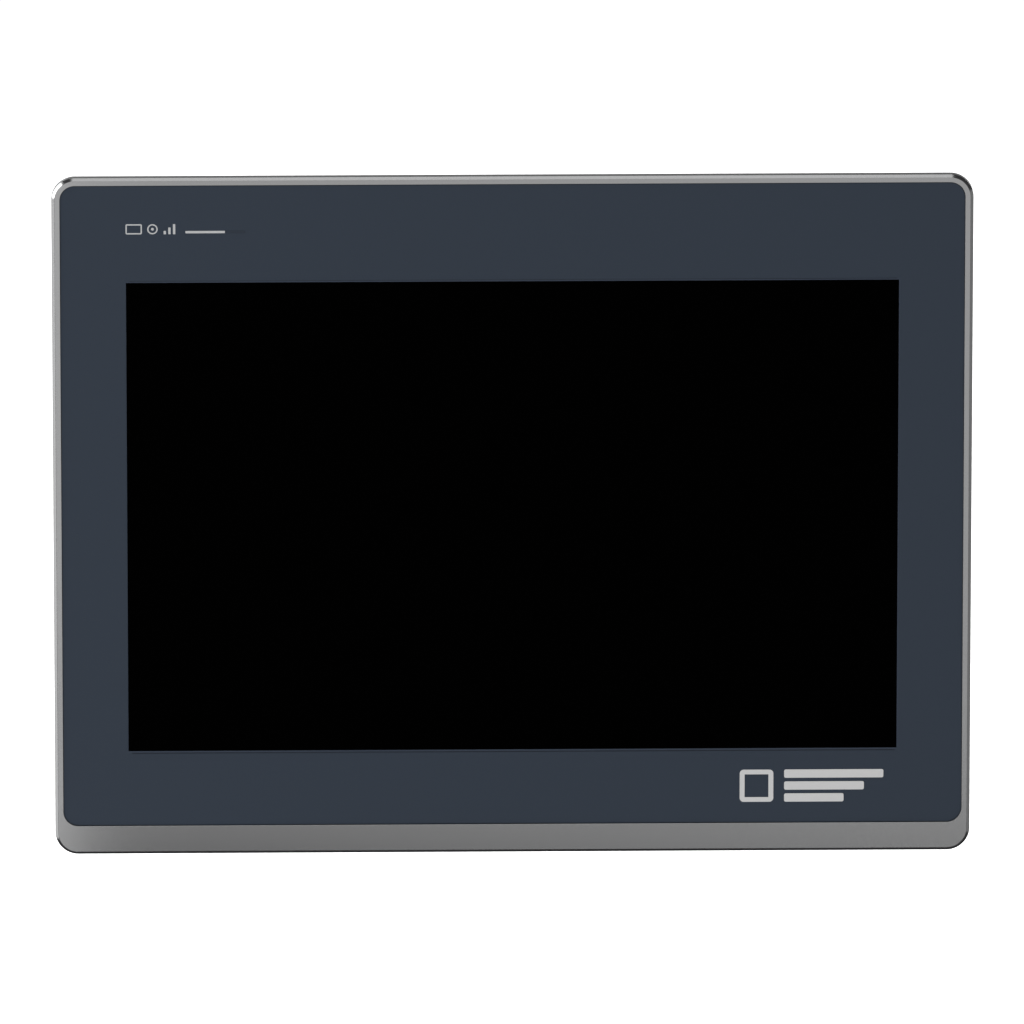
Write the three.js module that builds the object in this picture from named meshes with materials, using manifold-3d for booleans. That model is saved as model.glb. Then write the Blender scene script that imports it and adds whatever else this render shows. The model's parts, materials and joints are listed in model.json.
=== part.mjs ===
// Touch panel for machine control, mounted in a rectangular cut-out of a cabinet door.
// Millimetres, +Z up. The screen faces -Y and the housing reaches into the cabinet along +Y.
// The origin is the centre of the cut-out, on the plane where the gasket meets the door (Y = 0).
import * as THREE from "three";
import { mergeVertices } from "three/addons/utils/BufferGeometryUtils.js";
import Module from "manifold-3d";

// ---------------------------------------------------------------- driving dimensions

const GAP = 0.3; // running gap between pieces that are assembled loosely
const GLUE = 0.05; // gap of a glued or clamped joint

const BEZEL = {
  width: 315,
  height: 241.6,
  radius: 8,
  front: -6, // front face of the rim
  land: -0.3, // rear face, just ahead of the gasket's
  edge: 1.05, // 45 degree chamfer round the front
  flank: 2.2, // straight side behind the chamfer
  skirtInset: 1.2, // the rear skirt stands in from the flank
};
const OVERLAY = { width: 309.3, height: 228.6, radius: 5.2, z: 3.8, front: -5.65, thickness: 0.3 };
const WINDOW = { width: 264.3, height: 167.3 };
const STATUS = { x: -94.75, z: 101.9, width: 6.5, height: 1.1 };
const GLASS = { width: 280, height: 184, thickness: 1.8, front: -5.3 };
const GLASS_FLOOR = -2.9; // floor of the pocket that the glass lies in
const LCD_SHELF = -1.4; // rear side of that floor
const APERTURE = { width: 267, height: 170, radius: 1.5 }; // opening in the floor
const SEAL_OPENING = { width: 268, height: 171 };
const LCD_POCKET = { width: 290, height: 200, radius: 3 };
const TOUCH_CABLE_SLOT = [58, 80];
const LCD = { width: 278, height: 184.6, front: -0.3, back: 8.2, sheet: 0.6 };
const GASKET = { width: 310, height: 236, radius: 7, band: 3, front: -1.9 };

const NECK = { width: 300, height: 226, radius: 6, wall: 4, back: 16, lip: 2.2 }; // in the cut-out
const PLATE = { front: 9.1, thickness: 1.2 }; // chassis plate
const BOARD = { left: -118, right: 100, low: -80, high: 66, front: 24, thickness: 1.6 };
const BOARD_BACK = BOARD.front + BOARD.thickness;

const COVER = { front: 16.3, shoulder: 20, waist: 27, rim: 48.6, back: 50, wall: 2.4, z: 2 };
const BAY = { left: -96, right: 86, ceiling: -84, front: 21.5 }; // recess for the cable connectors
const PORT_MOUTH = BAY.ceiling - 1;
const DOOR = { left: -122, right: -66, low: 28, high: 66, face: 49, thickness: 1.3, barrel: 1 };
const LABEL = { left: -45, right: 45, low: -52, high: -2 };
const COVER_SCREWS = [[-124, 88], [124, 88], [-124, -74], [124, -74]];
const BOARD_POSTS = [[-113, 62], [95, 62], [-113, -75], [95, -75]];

const FASTENER = { x: 153.9, z: 70, thickness: 6.2, front: 11, back: 27, width: 18 };
const TONGUE = { reach: 143, front: 11.5, back: 14.5, halfWidth: 7 };
const SCREW = { radius: 2, tip: 8.6, underHead: 33, headRadius: 3.1, headHeight: 3.1 };
const FOOT = { radius: 3.1, tip: 7, back: 10.5 };

const PLUG = { x: -80, z: [-100, -85, -76.5], y: [27.3, 37.3], halfWidth: 7.5, pitch: 5.08 };

// ---------------------------------------------------------------- materials

function finish(color, roughness, metalness = 0) {
  return new THREE.MeshStandardMaterial({ color, roughness, metalness });
}

const FINISHES = {
  silver: finish(0x9a9b9d, 0.32, 0.6),
  overlay: finish(0x343b45, 0.45),
  glass: finish(0x050506, 0.08),
  clear: finish(0xc9d3da, 0.2),
  foam: finish(0x1b1b1c, 0.95),
  rubber: finish(0x202122, 0.85),
  steel: finish(0xb4b7ba, 0.35, 0.9),
  film: finish(0xe8e9e6, 0.6),
  board: finish(0x1d5a35, 0.5),
  chip: finish(0x17181a, 0.5),
  aluminium: finish(0xa9acb0, 0.4, 0.9),
  housing: finish(0x4a4e53, 0.6),
  plastic: finish(0x222427, 0.5),
  terminal: finish(0x2f7a4b, 0.5),
  ribbon: finish(0xb9893a, 0.5),
  label: finish(0xc7c9cb, 0.5),
};

// ---------------------------------------------------------------- solids

const wasm = await Module();
wasm.setup();

function toSolid(geometry) {
  const bare = geometry.clone();
  bare.deleteAttribute("normal");
  bare.deleteAttribute("uv");
  const merged = mergeVertices(bare);
  const vertProperties = merged.attributes.position.array;
  const triVerts = new Uint32Array(merged.index.array);
  return new wasm.Manifold(new wasm.Mesh({ numProp: 3, vertProperties, triVerts }));
}

function toGeometry(solid) {
  const mesh = solid.getMesh();
  const geometry = new THREE.BufferGeometry();
  geometry.setAttribute("position", new THREE.BufferAttribute(mesh.vertProperties, 3));
  geometry.setIndex(new THREE.BufferAttribute(mesh.triVerts, 1));
  return geometry;
}

function cut(base, ...tools) {
  return toGeometry(tools.reduce((rest, tool) => rest.subtract(toSolid(tool)), toSolid(base)));
}

function join(base, ...parts) {
  return toGeometry(parts.reduce((whole, part) => whole.add(toSolid(part)), toSolid(base)));
}

/** A box between two values on each axis. */
function block([x0, x1], [y0, y1], [z0, z1]) {
  const box = new THREE.BoxGeometry(x1 - x0, y1 - y0, z1 - z0);
  return box.translate((x0 + x1) / 2, (y0 + y1) / 2, (z0 + z1) / 2);
}

/** Values from centre - half to centre + half. */
const about = (centre, half) => [centre - half, centre + half];

/** A cylinder along Y. */
function rodY(radius, [y0, y1], x, z, sides = 20) {
  const rod = new THREE.CylinderGeometry(radius, radius, y1 - y0, sides);
  return rod.translate(x, (y0 + y1) / 2, z);
}

/** A cylinder along Z. */
function rodZ(radius, [z0, z1], x, y, sides = 20) {
  const rod = new THREE.CylinderGeometry(radius, radius, z1 - z0, sides);
  return rod.rotateX(Math.PI / 2).translate(x, y, (z0 + z1) / 2);
}

/** A cylinder along X. */
function rodX(radius, [x0, x1], y, z, sides = 16) {
  const rod = new THREE.CylinderGeometry(radius, radius, x1 - x0, sides);
  return rod.rotateZ(Math.PI / 2).translate((x0 + x1) / 2, y, z);
}

/** Points of a rounded rectangle in the X-Z plane, anticlockwise as seen from the front. */
function roundedRing({ width, height, radius, x = 0, z = 0 }, steps) {
  const points = [];
  const corners = [[1, 1], [-1, 1], [-1, -1], [1, -1]];
  corners.forEach(([right, up], quarter) => {
    const cx = x + right * (width / 2 - radius);
    const cz = z + up * (height / 2 - radius);
    for (let i = 0; i <= steps; i += 1) {
      const angle = (quarter + i / steps) * (Math.PI / 2);
      points.push([cx + radius * Math.cos(angle), cz + radius * Math.sin(angle)]);
    }
  });
  return points;
}

/** A closed solid through rounded rectangles, each at its own y, listed from front to back. */
function stack(sections, steps = 4) {
  const positions = [];
  const index = [];
  for (const section of sections) {
    for (const [x, z] of roundedRing(section, steps)) positions.push(x, section.y, z);
  }
  const count = 4 * (steps + 1);
  const last = (sections.length - 1) * count;
  for (let i = 0; i < count; i += 1) {
    const next = (i + 1) % count;
    for (let ring = 0; ring < last; ring += count) {
      index.push(ring + i, ring + count + i, ring + count + next);
      index.push(ring + i, ring + count + next, ring + next);
    }
    if (i > 0 && i < count - 1) {
      index.push(0, i, next);
      index.push(last, last + next, last + i);
    }
  }
  const geometry = new THREE.BufferGeometry();
  geometry.setAttribute("position", new THREE.Float32BufferAttribute(positions, 3));
  geometry.setIndex(index);
  return geometry;
}

/** A straight plate with rounded corners between two values of y. */
function plate({ width, height, radius = 0.5, x = 0, z = 0 }, [front, back], steps = 3) {
  const section = { width, height, radius, x, z };
  return stack([{ ...section, y: front }, { ...section, y: back }], steps);
}

/** A frame: one plate with a smaller one cut out of it. */
function frame(outer, inner, [front, back]) {
  return cut(plate(outer, [front, back]), plate(inner, [front - 1, back + 1]));
}

/** A turned piece on a Y axis through (x, z), from [radius, y] points that start and end on the axis. */
function turned(profile, x, z, sides = 18) {
  const points = profile.map(([radius, y]) => new THREE.Vector2(radius, y));
  return new THREE.LatheGeometry(points, sides).translate(x, 0, z);
}

/** A cross recess to cut into a screw head whose face is at y. */
function crossRecess(x, z, y, reach, depth, bar = 0.5) {
  const span = [y - depth, y + 1];
  return join(
    block(about(x, reach), span, about(z, bar)),
    block(about(x, bar), span, about(z, reach)),
  );
}

const panel = new THREE.Group();

function add(name, geometry, finishName) {
  geometry.computeVertexNormals();
  const mesh = new THREE.Mesh(geometry, FINISHES[finishName]);
  mesh.name = name;
  panel.add(mesh);
}

// ---------------------------------------------------------------- front: bezel, film, glass, seals

function frontBezel() {
  const { width, height, radius, front, edge, flank, skirtInset, land } = BEZEL;
  const inset = (by, y) => ({
    width: width - 2 * by,
    height: height - 2 * by,
    radius: radius - by,
    y,
  });
  const shoulder = front + edge + flank;
  const body = stack(
    [
      inset(edge, front),
      inset(0, front + edge),
      inset(0, shoulder),
      inset(skirtInset, shoulder),
      inset(skirtInset, land),
    ],
    6,
  );
  const overlayFloor = OVERLAY.front + OVERLAY.thickness + GLUE;
  const groove = frame(
    { width: GASKET.width + 0.4, height: GASKET.height + 0.4, radius: GASKET.radius + 0.2 },
    {
      width: GASKET.width - 2 * GASKET.band - 0.4,
      height: GASKET.height - 2 * GASKET.band - 0.4,
      radius: GASKET.radius - GASKET.band - 0.2,
    },
    [GASKET.front - 0.1, 1],
  );
  const cableSlot = block(TOUCH_CABLE_SLOT, [overlayFloor - 0.5, 1], [-96.5, -91.5]);
  return cut(
    body,
    plate(OVERLAY, [front - 1, overlayFloor], 6),
    plate({ width: GLASS.width + 0.4, height: GLASS.height + 0.4 }, [front, GLASS_FLOOR]),
    plate(APERTURE, [front, 1]),
    plate(LCD_POCKET, [LCD_SHELF, 1]),
    groove,
    cableSlot,
    block(about(STATUS.x, 3.5), [front, 1], about(STATUS.z, 0.8)),
    block(about(STATUS.x, 4.2), [-1.6, 1], about(STATUS.z, 1.5)),
  );
}

function frontOverlay() {
  const span = [OVERLAY.front, OVERLAY.front + OVERLAY.thickness];
  const film = plate(
    { ...OVERLAY, width: OVERLAY.width - GAP, height: OVERLAY.height - GAP, radius: 5.05 },
    span,
    6,
  );
  const through = [span[0] - 1, span[1] + 1];
  return cut(
    film,
    block(about(0, WINDOW.width / 2), through, about(0, WINDOW.height / 2)),
    block(about(STATUS.x, STATUS.width / 2), through, about(STATUS.z, STATUS.height / 2)),
  );
}

function statusLightGuide() {
  const bar = block(about(STATUS.x, 3.15), [OVERLAY.front, -1.4], about(STATUS.z, 0.45));
  return join(bar, block(about(STATUS.x, 4), [-1.5, BEZEL.land], about(STATUS.z, 1.3)));
}

function statusLightBoard() {
  const board = block(about(STATUS.x, 11), [1.6, 2.8], [96.5, 107]);
  return join(board, block(about(STATUS.x, 3), [0.2, 1.7], about(STATUS.z, 1.2)));
}

function panelGasket() {
  const { width, height, radius, band, front } = GASKET;
  return frame(
    { width, height, radius },
    { width: width - 2 * band, height: height - 2 * band, radius: radius - band },
    [front, 0],
  );
}

add("front_bezel", frontBezel(), "silver");
add("front_overlay", frontOverlay(), "overlay");
const GLASS_BACK = GLASS.front + GLASS.thickness;
add("touch_glass", plate(GLASS, [GLASS.front, GLASS_BACK]), "glass");
add("touch_seal", frame(GLASS, SEAL_OPENING, [GLASS_BACK + GLUE, GLASS_FLOOR - GLUE]), "foam");
add("status_light_guide", statusLightGuide(), "clear");
add("status_light_board", statusLightBoard(), "board");
add("panel_gasket", panelGasket(), "rubber");

// ---------------------------------------------------------------- display module

function lcdFrame() {
  const { width, height, front, back, sheet } = LCD;
  return cut(
    plate({ width, height }, [front, back - 0.4]),
    plate({ width: width - 2 * sheet, height: height - 2 * sheet }, [front + sheet, back]),
    plate({ width: 264.9, height: 167.6 }, [front - 1, back]),
  );
}

function lcdTray() {
  return cut(
    plate({ width: 276.4, height: 183 }, [5.9, LCD.back]),
    plate({ width: 274.8, height: 181.4 }, [5, LCD.back - 0.8]),
  );
}

const LCD_SEAL = { width: 276, height: 181 };
add("lcd_seal", frame(LCD_SEAL, SEAL_OPENING, [LCD_SHELF + GLUE, LCD.front - GLUE]), "foam");
add("lcd_frame", lcdFrame(), "steel");
add("lcd_cell", plate({ width: 276, height: 182 }, [0.4, 1.9]), "glass");
add("diffuser_sheet", plate({ width: 274, height: 180 }, [2.1, 2.9]), "film");
add("light_guide_plate", plate({ width: 272, height: 170, z: 4 }, [3.1, 5.6]), "clear");
add("backlight_strip", block(about(0, 135), [3.1, 5.5], [-89, -83]), "film");
add("lcd_tray", lcdTray(), "steel");

// ---------------------------------------------------------------- neck and chassis plate

/** The moulding that fills the cut-out; the lip at its rear goes into the cover. */
function middleFrame() {
  const { width, height, radius, wall, back } = NECK;
  const bore = { width: width - 2 * wall, height: height - 2 * wall, radius: radius - 2 };
  const tube = frame({ width, height, radius }, bore, [BEZEL.land + GLUE, back]);
  const ledge = frame(
    { width: bore.width + 1, height: bore.height + 1, radius: bore.radius },
    { width: 284, height: 210, radius: 3 },
    [PLATE.front - 2, PLATE.front - GLUE],
  );
  const lipInset = COVER.wall + GAP;
  const lipOutside = {
    width: width - 2 * lipInset,
    height: height - 2 * lipInset,
    radius: radius - COVER.wall / 2 - GAP,
  };
  const lip = frame(lipOutside, bore, [back - 0.5, back + NECK.lip]);
  const slots = [-1, 1].flatMap((side) =>
    [-1, 1].map((up) =>
      block(
        about((side * width) / 2, wall + 1),
        [TONGUE.front - GAP, TONGUE.back + GAP],
        about(up * FASTENER.z, TONGUE.halfWidth + GAP),
      ),
    ),
  );
  return cut(join(tube, ledge, lip), ...slots);
}

function chassisPlate() {
  const back = PLATE.front + PLATE.thickness;
  const sheet = plate({ width: 291, height: 217, radius: 3 }, [PLATE.front, back]);
  const boardPosts = BOARD_POSTS.flatMap(([x, z]) => [
    rodY(4, [back - 0.5, BOARD.front - GLUE], x, z, 6),
    rodY(1.5, [BOARD.front - 1, BOARD_BACK + 1.4], x, z, 10),
  ]);
  const coverPosts = COVER_SCREWS.map(([x, z]) => rodY(4.5, [back - 0.5, 43.8], x, z, 12));
  const bores = COVER_SCREWS.map(([x, z]) => rodY(1.8, [34, 45], x, z, 12));
  return cut(
    join(sheet, ...boardPosts, ...coverPosts),
    ...bores,
    block([-18, 18], [8, 12], [72, 80]),
    block(TOUCH_CABLE_SLOT, [8, 12], [-98, -92]),
  );
}

add("middle_frame", middleFrame(), "housing");
add("chassis_plate", chassisPlate(), "steel");

// ---------------------------------------------------------------- electronics

function mainBoard() {
  const board = block([BOARD.left, BOARD.right], [BOARD.front, BOARD_BACK], [BOARD.low, BOARD.high]);
  return cut(board, ...BOARD_POSTS.map(([x, z]) => rodY(1.8, [23, 27], x, z, 12)));
}

/** A component that stands on the rear side of the board. */
function onBoard(x, z, width, height, depth) {
  return block(about(x, width / 2), [BOARD_BACK + GLUE, BOARD_BACK + depth], about(z, height / 2));
}

function heatSink() {
  const [x, z, base] = [10, -12, BOARD_BACK + 2.4];
  const slab = block(about(x, 27), [base, base + 3], about(z, 22));
  const fins = [-24, -18, -12, -6, 0, 6, 12, 18, 24].map((offset) =>
    block(about(x + offset, 0.7), [base + 2.5, base + 13], about(z, 22)),
  );
  return join(slab, ...fins);
}

function batteryHolder() {
  const [x, z] = [-80, 47];
  const cup = rodY(12, [BOARD_BACK + GLUE, BOARD_BACK + 5], x, z, 32);
  const mouth = block(about(x, 4), [BOARD_BACK + 1.5, BOARD_BACK + 6], [z, z + 14]);
  return cut(cup, rodY(10.3, [BOARD_BACK + 1.5, BOARD_BACK + 6], x, z, 32), mouth);
}

function cardSocket() {
  const shell = onBoard(-105, 47, 20, 24, 3.4);
  return cut(shell, block(about(-105, 8.2), [BOARD_BACK + 1, BOARD_BACK + 2.4], [40, 60]));
}

function displayCable() {
  const width = [-15, 15];
  return join(
    block(width, [8.5, 27.4], [76, 76.4]),
    block(width, [27, 27.4], [58, 76.4]),
    block([-16, 16], [BOARD_BACK + GLUE, 28.6], [54, 60]),
  );
}

function touchCable() {
  const width = [62, 76];
  return join(
    block(width, [-4.8, 17.4], [-95.4, -95]),
    block(width, [-4.8, -4.4], [-95.4, -92.3]),
    block(width, [17, 17.4], [-95.4, -58]),
    block([61, 77], [17, BOARD.front - GLUE], [-62, -58]),
  );
}

add("main_board", mainBoard(), "board");
add("processor", onBoard(10, -12, 27, 27, 2.2), "chip");
add("heat_sink", heatSink(), "aluminium");
add("memory_chip_1", onBoard(-32, 2, 11, 13, 1.2), "chip");
add("memory_chip_2", onBoard(-32, -18, 11, 13, 1.2), "chip");
add("power_inductor", onBoard(-92, -28, 12.5, 12.5, 8), "chip");
add("capacitor_1", rodY(5, [BOARD_BACK + GLUE, 41], -98, -50, 20), "aluminium");
add("capacitor_2", rodY(5, [BOARD_BACK + GLUE, 41], -84, -50, 20), "aluminium");
add("battery_holder", batteryHolder(), "plastic");
add("coin_cell", rodY(10, [BOARD_BACK + 1.6, BOARD_BACK + 4.8], -80, 47, 32), "steel");
add("card_socket", cardSocket(), "steel");
add("display_cable", displayCable(), "ribbon");
add("touch_cable", touchCable(), "ribbon");

// ---------------------------------------------------------------- connectors

/** An eight-way network jack with its mouth facing down. */
function networkJack(x) {
  const body = block(about(x, 8), [BOARD_BACK + GLUE, 39.2], [PORT_MOUTH, -64]);
  return cut(
    body,
    block(about(x, 5.95), [28, 36.2], [PORT_MOUTH - 1, -71]),
    block(about(x, 3.1), [36, 37.8], [PORT_MOUTH - 1, -77]),
  );
}

function usbHostPort(x) {
  const shell = block(about(x, 7.2), [BOARD_BACK + GLUE, 32.8], [PORT_MOUTH, -71]);
  return cut(shell, block(about(x, 6.6), [26.3, 32.2], [PORT_MOUTH - 1, -72.5]));
}

function usbDevicePort(x) {
  const shell = block(about(x, 4), [BOARD_BACK + GLUE, 29.8], [PORT_MOUTH, -76]);
  return cut(shell, block(about(x, 3.5), [26.2, 29.2], [PORT_MOUTH - 1, -78]));
}

/** A nine-way plug in a D-shaped shell, between two hexagonal screw posts. */
function serialPort(x) {
  const y = 33;
  const dShape = (inset) =>
    new THREE.Shape([
      new THREE.Vector2(-8.5 + inset, -4.2 + inset),
      new THREE.Vector2(8.5 - inset, -4.2 + inset),
      new THREE.Vector2(7.6 - inset, 4.2 - inset),
      new THREE.Vector2(-7.6 + inset, 4.2 - inset),
    ]);
  const prism = (inset, [z0, z1]) =>
    new THREE.ExtrudeGeometry(dShape(inset), { depth: z1 - z0, bevelEnabled: false })
      .translate(x, y, z0);
  const flange = block(about(x, 15.4), about(y, 6.2), [PORT_MOUTH, PORT_MOUTH + 0.8]);
  const body = block(about(x, 9.5), about(y, 5.4), [PORT_MOUTH + 0.5, -68]);
  const foot = block(about(x, 9.5), [BOARD_BACK + GLUE, 30], [-79, -68]);
  const posts = [-12.5, 12.5].map((offset) => rodZ(2.6, [-89.5, PORT_MOUTH + 0.4], x + offset, y, 6));
  const shell = prism(0, [-90.5, PORT_MOUTH + 0.4]);
  return cut(
    join(flange, body, foot, shell, ...posts),
    prism(0.5, [-92, PORT_MOUTH + 0.2]),
    ...[-12.5, 12.5].map((offset) => rodZ(1.5, [-91, -86], x + offset, y, 12)),
  );
}

/** The socket on the board that the power plug goes into. */
function powerInlet() {
  const { x, y, z, halfWidth } = PLUG;
  const body = block(about(x, halfWidth + 1.5), [BOARD_BACK + GLUE, y[1] + 1.5], [PORT_MOUTH, -73]);
  const well = block(about(x, halfWidth + GAP), [y[0] - GAP, y[1] + GAP], [PORT_MOUTH - 1, z[2] + GAP]);
  return cut(body, well);
}

/** The plug that the supply wires are screwed into; it pulls off downwards. */
function powerPlug() {
  const { x, y, z, halfWidth, pitch } = PLUG;
  const nose = block(about(x, halfWidth), y, [z[1] - 1, z[2]]);
  const body = block(about(x, halfWidth + 1), [y[0] - 0.8, y[1] + 2], [z[0], z[1] - GAP]);
  const wells = [-1, 0, 1].flatMap((place) => [
    block(about(x + place * pitch, 1.8), about(30, 1.9), [z[0] - 1, z[0] + 9]),
    rodY(2.1, [34, y[1] + 3], x + place * pitch, -93, 16),
  ]);
  return cut(join(nose, body), ...wells);
}

function terminalScrew(place) {
  const x = PLUG.x + place * PLUG.pitch;
  const face = 38.3;
  return cut(
    rodY(1.8, [34.3, face], x, -93, 16),
    block(about(x, 1.6), [face - 0.8, face + 1], about(-93, 0.3)),
  );
}

function groundScrew() {
  const [x, y] = [-58, 32];
  return cut(
    join(
      rodZ(2, [-84.1, -77], x, y, 16),
      rodZ(4.5, [-84.9, -84.05], x, y, 24),
      rodZ(3.8, [-87.6, -84.8], x, y, 24),
    ),
    block(about(x, 2.6), about(y, 0.5), [-88, -86.2]),
    block(about(x, 0.5), about(y, 2.6), [-88, -86.2]),
  );
}

const PORTS = { device: -40, host: -20, network1: 4, network2: 26, serial: 62 };
add("power_inlet", powerInlet(), "terminal");
add("usb_device_port", usbDevicePort(PORTS.device), "steel");
add("usb_host_port", usbHostPort(PORTS.host), "steel");
add("ethernet_port_1", networkJack(PORTS.network1), "steel");
add("ethernet_port_2", networkJack(PORTS.network2), "steel");
add("serial_port", serialPort(PORTS.serial), "steel");
add("ground_screw", groundScrew(), "steel");
add("power_plug", powerPlug(), "terminal");
[-1, 0, 1].forEach((place, i) => add(`terminal_screw_${i + 1}`, terminalScrew(place), "steel"));

// ---------------------------------------------------------------- rear cover

/** The sections of the cover, each moved in by the wall on the inside. */
function coverSections(wall) {
  const { front, shoulder, waist, rim, back, z } = COVER;
  const size = (width, height, radius, y, shift) => ({
    width: width - 2 * wall,
    height: height - 2 * wall,
    radius: radius - wall / 2,
    y,
    z: shift,
  });
  const ease = wall / 2;
  const sections = [
    size(300, 226, 6, wall ? front - 1 : front, 0),
    size(300, 226, 6, shoulder - ease, 0),
    size(282, 206, 10, waist - ease, z),
    size(278.4, 202.4, 9.5, (wall ? back - wall : rim), z),
  ];
  if (!wall) sections.push(size(275.6, 199.6, 8.1, back, z));
  return sections;
}

/** A row of slots along X; each is a plate with clipped corners that goes through along Y. */
function ventRow({ from, to, z, height, y }) {
  const slots = [];
  for (let x = from; x <= to; x += 6) {
    slots.push(plate({ width: 2.4, height, radius: 1.1, x, z }, y, 1));
  }
  return slots;
}

function topVents() {
  const slots = [];
  for (let x = -105; x <= 105; x += 6) slots.push(block(about(x, 1.2), [30, 45], [96, 110]));
  return slots;
}

function rearCover() {
  const { wall, back } = COVER;
  const bay = (by) => block(
    [BAY.left - by, BAY.right + by],
    [BAY.front - by, back + 2],
    [-130, BAY.ceiling + by],
  );
  const shell = cut(
    cut(stack(coverSections(0)), bay(0)),
    cut(stack(coverSections(wall), 3), bay(wall)),
  );
  const bosses = COVER_SCREWS.map(([x, z]) => rodY(5.5, [44, back - wall + 0.5], x, z, 20));
  const screwHoles = COVER_SCREWS.flatMap(([x, z]) => [
    rodY(3.7, [47, back + 1], x, z, 20),
    rodY(1.9, [43, 48], x, z, 12),
  ]);
  const portHoles = [
    [PORTS.device, 4.4, 25.2, 30.2],
    [PORTS.host, 7.6, 25.2, 33.2],
    [PORTS.network1, 8.4, 25.2, 39.6],
    [PORTS.network2, 8.4, 25.2, 39.6],
    [PORTS.serial, 15.8, 25.2, 39.6],
    [PLUG.x, PLUG.halfWidth + 1.9, 25.2, PLUG.y[1] + 1.9],
  ].map(([x, half, y0, y1]) => block(about(x, half), [y0, y1], [-86, -80]));
  const { left, right, low, high, face, thickness, barrel } = DOOR;
  const floor = face - thickness - GAP;
  const lip = 3;
  const doorFrame = block([left - 4, right + 4], [45, back - wall + 0.5], [low - 5, high + 10]);
  const doorWell = [
    block([left, right], [floor, back + 1], [low - 1.4, high]),
    block([left + lip, right - lip], [40, back + 1], [low + lip, high - lip]),
    rodX(barrel - 0.1, [left - 1.6, right + 1.6], face, low),
    rodY(9, [floor, back + 1], (left + right) / 2, high - 2, 28),
  ];
  return cut(
    join(shell, doorFrame, ...bosses),
    ...screwHoles,
    ...portHoles,
    ...doorWell,
    rodZ(2.3, [-86, -80], -58, 32, 16),
    block([LABEL.left - GAP, LABEL.right + GAP], [49.6, 51], [LABEL.low - GAP, LABEL.high + GAP]),
    ...ventRow({ from: -18, to: 108, z: 70, height: 24, y: [40, 52] }),
    ...ventRow({ from: -18, to: 108, z: 38, height: 24, y: [40, 52] }),
    ...ventRow({ from: -120, to: -66, z: -30, height: 24, y: [40, 52] }),
    ...topVents(),
  );
}

function coverScrew([x, z]) {
  const head = 49.3;
  const screw = turned(
    [[0, 36], [1.2, 36.4], [1.5, 37], [1.5, 47.05], [3, 47.05], [3, 48.6], [2.2, head], [0, head]],
    x,
    z,
  );
  return cut(screw, crossRecess(x, z, head, 1.5, 1, 0.35));
}

/** The cover over the coin cell and the card; it swings down on the barrel along its lower edge. */
function serviceDoor() {
  const { left, right, low, high, face, thickness, barrel } = DOOR;
  const leaf = block([left + GAP, right - GAP], [face - thickness, face], [low, high - GAP]);
  const grip = block(about((left + right) / 2, 5), [face - 0.3, face + 0.7], [high - 3, high - 1.8]);
  return join(
    leaf,
    grip,
    rodX(barrel, [left + GAP, right - GAP], face, low),
    rodX(0.6, [left - 1.3, right + 1.3], face, low, 12),
  );
}

add("rear_cover", rearCover(), "housing");
add(
  "rating_plate",
  block([LABEL.left, LABEL.right], [49.65, 49.95], [LABEL.low, LABEL.high]),
  "label",
);
add("service_door", serviceDoor(), "housing");
COVER_SCREWS.forEach((place, i) => add(`cover_screw_${i + 1}`, coverScrew(place), "steel"));

// ---------------------------------------------------------------- installation fasteners

/** The bracket whose tongue goes into a slot of the neck. */
function fastenerBracket(side, z) {
  const { x, thickness, front, back, width } = FASTENER;
  const inner = x - thickness / 2;
  const outer = x + thickness / 2;
  const out = (a, b) => (side > 0 ? [a, b] : [-b, -a]);
  const body = block(out(inner, outer), [front, back], about(z, width / 2));
  const tongue = block(
    out(TONGUE.reach, inner + 1),
    [TONGUE.front, TONGUE.back],
    about(z, TONGUE.halfWidth),
  );
  const notches = [-1, 1].map((end) =>
    block(out(outer - 2, outer + 1), [front + 4, back - 4], about(z + (end * width) / 2, 3.4)),
  );
  return cut(join(body, tongue), ...notches, rodY(SCREW.radius + 0.15, [front - 1, back + 1], side * x, z));
}

function fastenerFoot(side, z) {
  const { radius, tip, back } = FOOT;
  const socket = SCREW.radius + GAP;
  return turned(
    [
      [0, tip], [radius - 0.5, tip], [radius, tip + 0.5], [radius, back],
      [socket, back], [socket, SCREW.tip - 0.2], [0, SCREW.tip - 0.2],
    ],
    side * FASTENER.x,
    z,
  );
}

function fastenerScrew(side, z) {
  const { radius, tip, underHead, headRadius, headHeight } = SCREW;
  const head = underHead + headHeight;
  const screw = turned(
    [
      [0, tip], [radius - 0.6, tip], [radius, tip + 0.6], [radius, underHead],
      [headRadius, underHead], [headRadius, head - 0.8], [headRadius - 0.8, head], [0, head],
    ],
    side * FASTENER.x,
    z,
  );
  return cut(screw, crossRecess(side * FASTENER.x, z, head, 1.9, 1.6, 0.45));
}

let number = 0;
for (const side of [-1, 1]) {
  for (const up of [1, -1]) {
    number += 1;
    add(`fastener_bracket_${number}`, fastenerBracket(side, up * FASTENER.z), "plastic");
    add(`clamp_foot_${number}`, fastenerFoot(side, up * FASTENER.z), "rubber");
    add(`clamp_screw_${number}`, fastenerScrew(side, up * FASTENER.z), "steel");
  }
}

export default panel;
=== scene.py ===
import json
import math

import bmesh
import bpy
from mathutils import Matrix, Quaternion, Vector


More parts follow.
